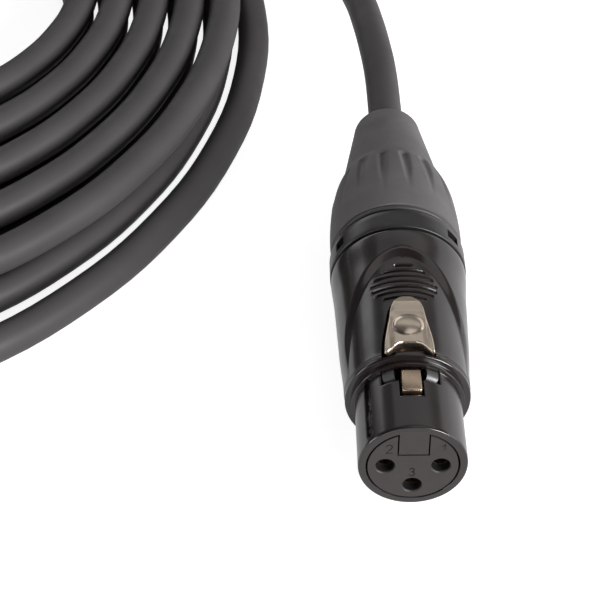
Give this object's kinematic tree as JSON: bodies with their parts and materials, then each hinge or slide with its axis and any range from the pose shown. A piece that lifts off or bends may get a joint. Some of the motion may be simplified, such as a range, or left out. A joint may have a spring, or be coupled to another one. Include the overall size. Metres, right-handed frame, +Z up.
{
  "type": "coiled microphone cable",
  "caption": "Balanced audio cable wound in an oval coil, with a latching socket connector at one end and a shrouded pin connector at the other.",
  "frame": {"origin": "on the table, below the middle of the socket connector's length and width", "axes": "+Y along the socket connector, from its face to its cable; +X to the right seen from its face; +Z up, the side of its latch"},
  "size_m": [0.1732, 0.1962, 0.0341],
  "materials": {
    "shell": "black chrome plating over die-cast zinc",
    "female_insert": "matte, glass-filled",
    "male_insert": "matte, glass-filled",
    "contact": "silver plated",
    "ground": "tinned spring strip",
    "lever": "nickel plated, satin",
    "steel": "plain",
    "coding_ring": "semi-gloss",
    "nut": "black, satin",
    "boot": "matte, moulded",
    "chuck": "natural acetal",
    "jacket": "matte flexible PVC",
    "core_1": "insulation",
    "core_2": "insulation",
    "core_3": "insulation"
  },
  "bodies": {
    "cable": {"female_housing": "shell", "female_insert": "female_insert", "female_socket_1": "contact", "female_socket_2": "contact", "female_socket_3": "contact", "ground_spring": "ground", "latch_pin": "steel", "latch_spring": "steel", "female_ring": "coding_ring", "female_nut": "nut", "female_boot": "boot", "female_chuck": "chuck", "female_cable_end": "jacket", "female_wire_1": "core_1", "female_wire_2": "core_2", "female_wire_3": "core_3", "cable_lead": "jacket", "cable_coil": "jacket", "cable_tail": "jacket", "male_housing": "shell", "male_insert": "male_insert", "male_pin_1": "contact", "male_pin_2": "contact", "male_pin_3": "contact", "male_ground_tab": "ground", "male_ring": "coding_ring", "male_nut": "nut", "male_boot": "boot", "male_chuck": "chuck", "male_cable_end": "jacket", "male_wire_1": "core_1", "male_wire_2": "core_2", "male_wire_3": "core_3"},
    "latch": {"latch_lever": "lever"}
  },
  "joints": [
    {"name": "latch_press", "type": "hinge", "parent": "cable", "child": "latch", "pos_m": [0, -0.01348, 0.0172], "axis": [1, 0, 0], "range_deg": [0, 4], "stiffness_Nm_per_rad": 0.05, "springref_deg": -11.46, "deforming": ["latch_spring"]}
  ]
}
